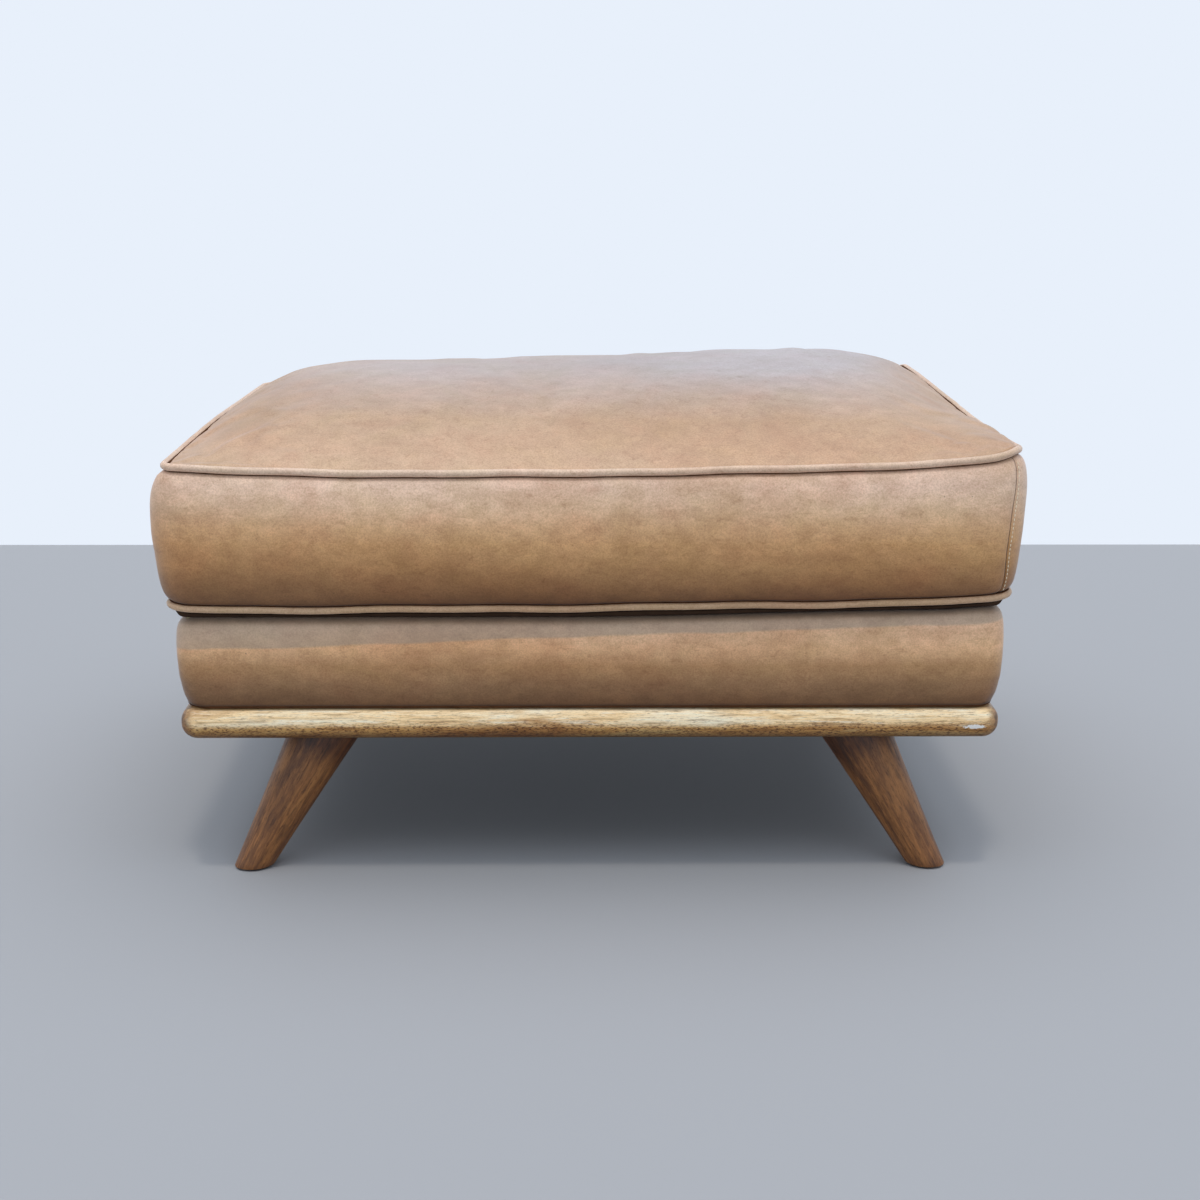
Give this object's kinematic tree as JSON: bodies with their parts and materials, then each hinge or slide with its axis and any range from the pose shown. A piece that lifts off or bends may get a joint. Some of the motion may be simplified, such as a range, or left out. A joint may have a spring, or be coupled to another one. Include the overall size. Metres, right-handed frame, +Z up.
{
  "type": "leather ottoman",
  "caption": "Rectangular leather ottoman with a loose piped box cushion on an upholstered spring base, a bullnose timber plinth and splayed tapered legs.",
  "frame": {"origin": "on the floor, under the centre of the ottoman's footprint", "axes": "+X along the long side, to the right as seen from the front; -Y out of the front face; +Z up"},
  "size_m": [0.848, 0.6711, 0.488],
  "materials": {
    "leather": "satin",
    "rail_wood": "satin",
    "leg_wood": "satin",
    "frame_wood": "matte",
    "steel": "satin",
    "foam": "matte",
    "wadding": "matte",
    "deck_cloth": "matte",
    "dust_cloth": "matte",
    "glide": "satin",
    "zip_tape": "matte",
    "zip_metal": "satin"
  },
  "bodies": {
    "base": {"front_rail": "rail_wood", "rear_rail": "rail_wood", "left_rail": "rail_wood", "right_rail": "rail_wood", "leg_front_left": "leg_wood", "leg_front_right": "leg_wood", "leg_rear_left": "leg_wood", "leg_rear_right": "leg_wood", "foot_glide_front_left": "glide", "foot_glide_front_right": "glide", "foot_glide_rear_left": "glide", "foot_glide_rear_right": "glide", "hanger_bolt_front_left": "steel", "hanger_bolt_front_right": "steel", "hanger_bolt_rear_left": "steel", "hanger_bolt_rear_right": "steel", "threaded_insert_front_left": "steel", "threaded_insert_front_right": "steel", "threaded_insert_rear_left": "steel", "threaded_insert_rear_right": "steel", "seat_spring_1": "steel", "seat_spring_2": "steel", "seat_spring_3": "steel", "seat_spring_4": "steel", "seat_spring_5": "steel", "corner_block_front_left": "frame_wood", "corner_block_front_right": "frame_wood", "corner_block_rear_left": "frame_wood", "corner_block_rear_right": "frame_wood", "centre_stretcher": "frame_wood", "front_board": "frame_wood", "rear_board": "frame_wood", "left_board": "frame_wood", "right_board": "frame_wood", "base_cover_front": "leather", "base_cover_rear": "leather", "base_cover_left": "leather", "base_cover_right": "leather", "front_foam_strip": "foam", "rear_foam_strip": "foam", "left_foam_strip": "foam", "right_foam_strip": "foam", "deck_pad": "foam", "deck_cloth": "deck_cloth", "dust_cover": "dust_cloth"},
    "cushion": {"cushion_top_panel": "leather", "cushion_bottom_panel": "leather", "boxing_front": "leather", "boxing_left": "leather", "boxing_right": "leather", "boxing_rear_upper": "leather", "boxing_rear_lower": "leather", "piping_top": "leather", "piping_bottom": "leather", "foam_core": "foam", "fibre_wrap": "wadding", "zip_tape": "zip_tape"},
    "zip_slider": {"zip_slider": "zip_metal"},
    "zip_pull": {"zip_pull": "zip_metal"}
  },
  "joints": [
    {"name": "cushion_lift", "type": "slide", "parent": "base", "child": "cushion", "axis": [0, 0, 1], "range_m": [0, 0.2]},
    {"name": "zip_travel", "type": "slide", "parent": "cushion", "child": "zip_slider", "axis": [1, 0, 0], "range_m": [0, 0.6]},
    {"name": "zip_pull_swing", "type": "hinge", "parent": "zip_slider", "child": "zip_pull", "pos_m": [-0.3, 0.3272, 0.35], "axis": [0, 0, -1], "range_deg": [0, 170]}
  ]
}
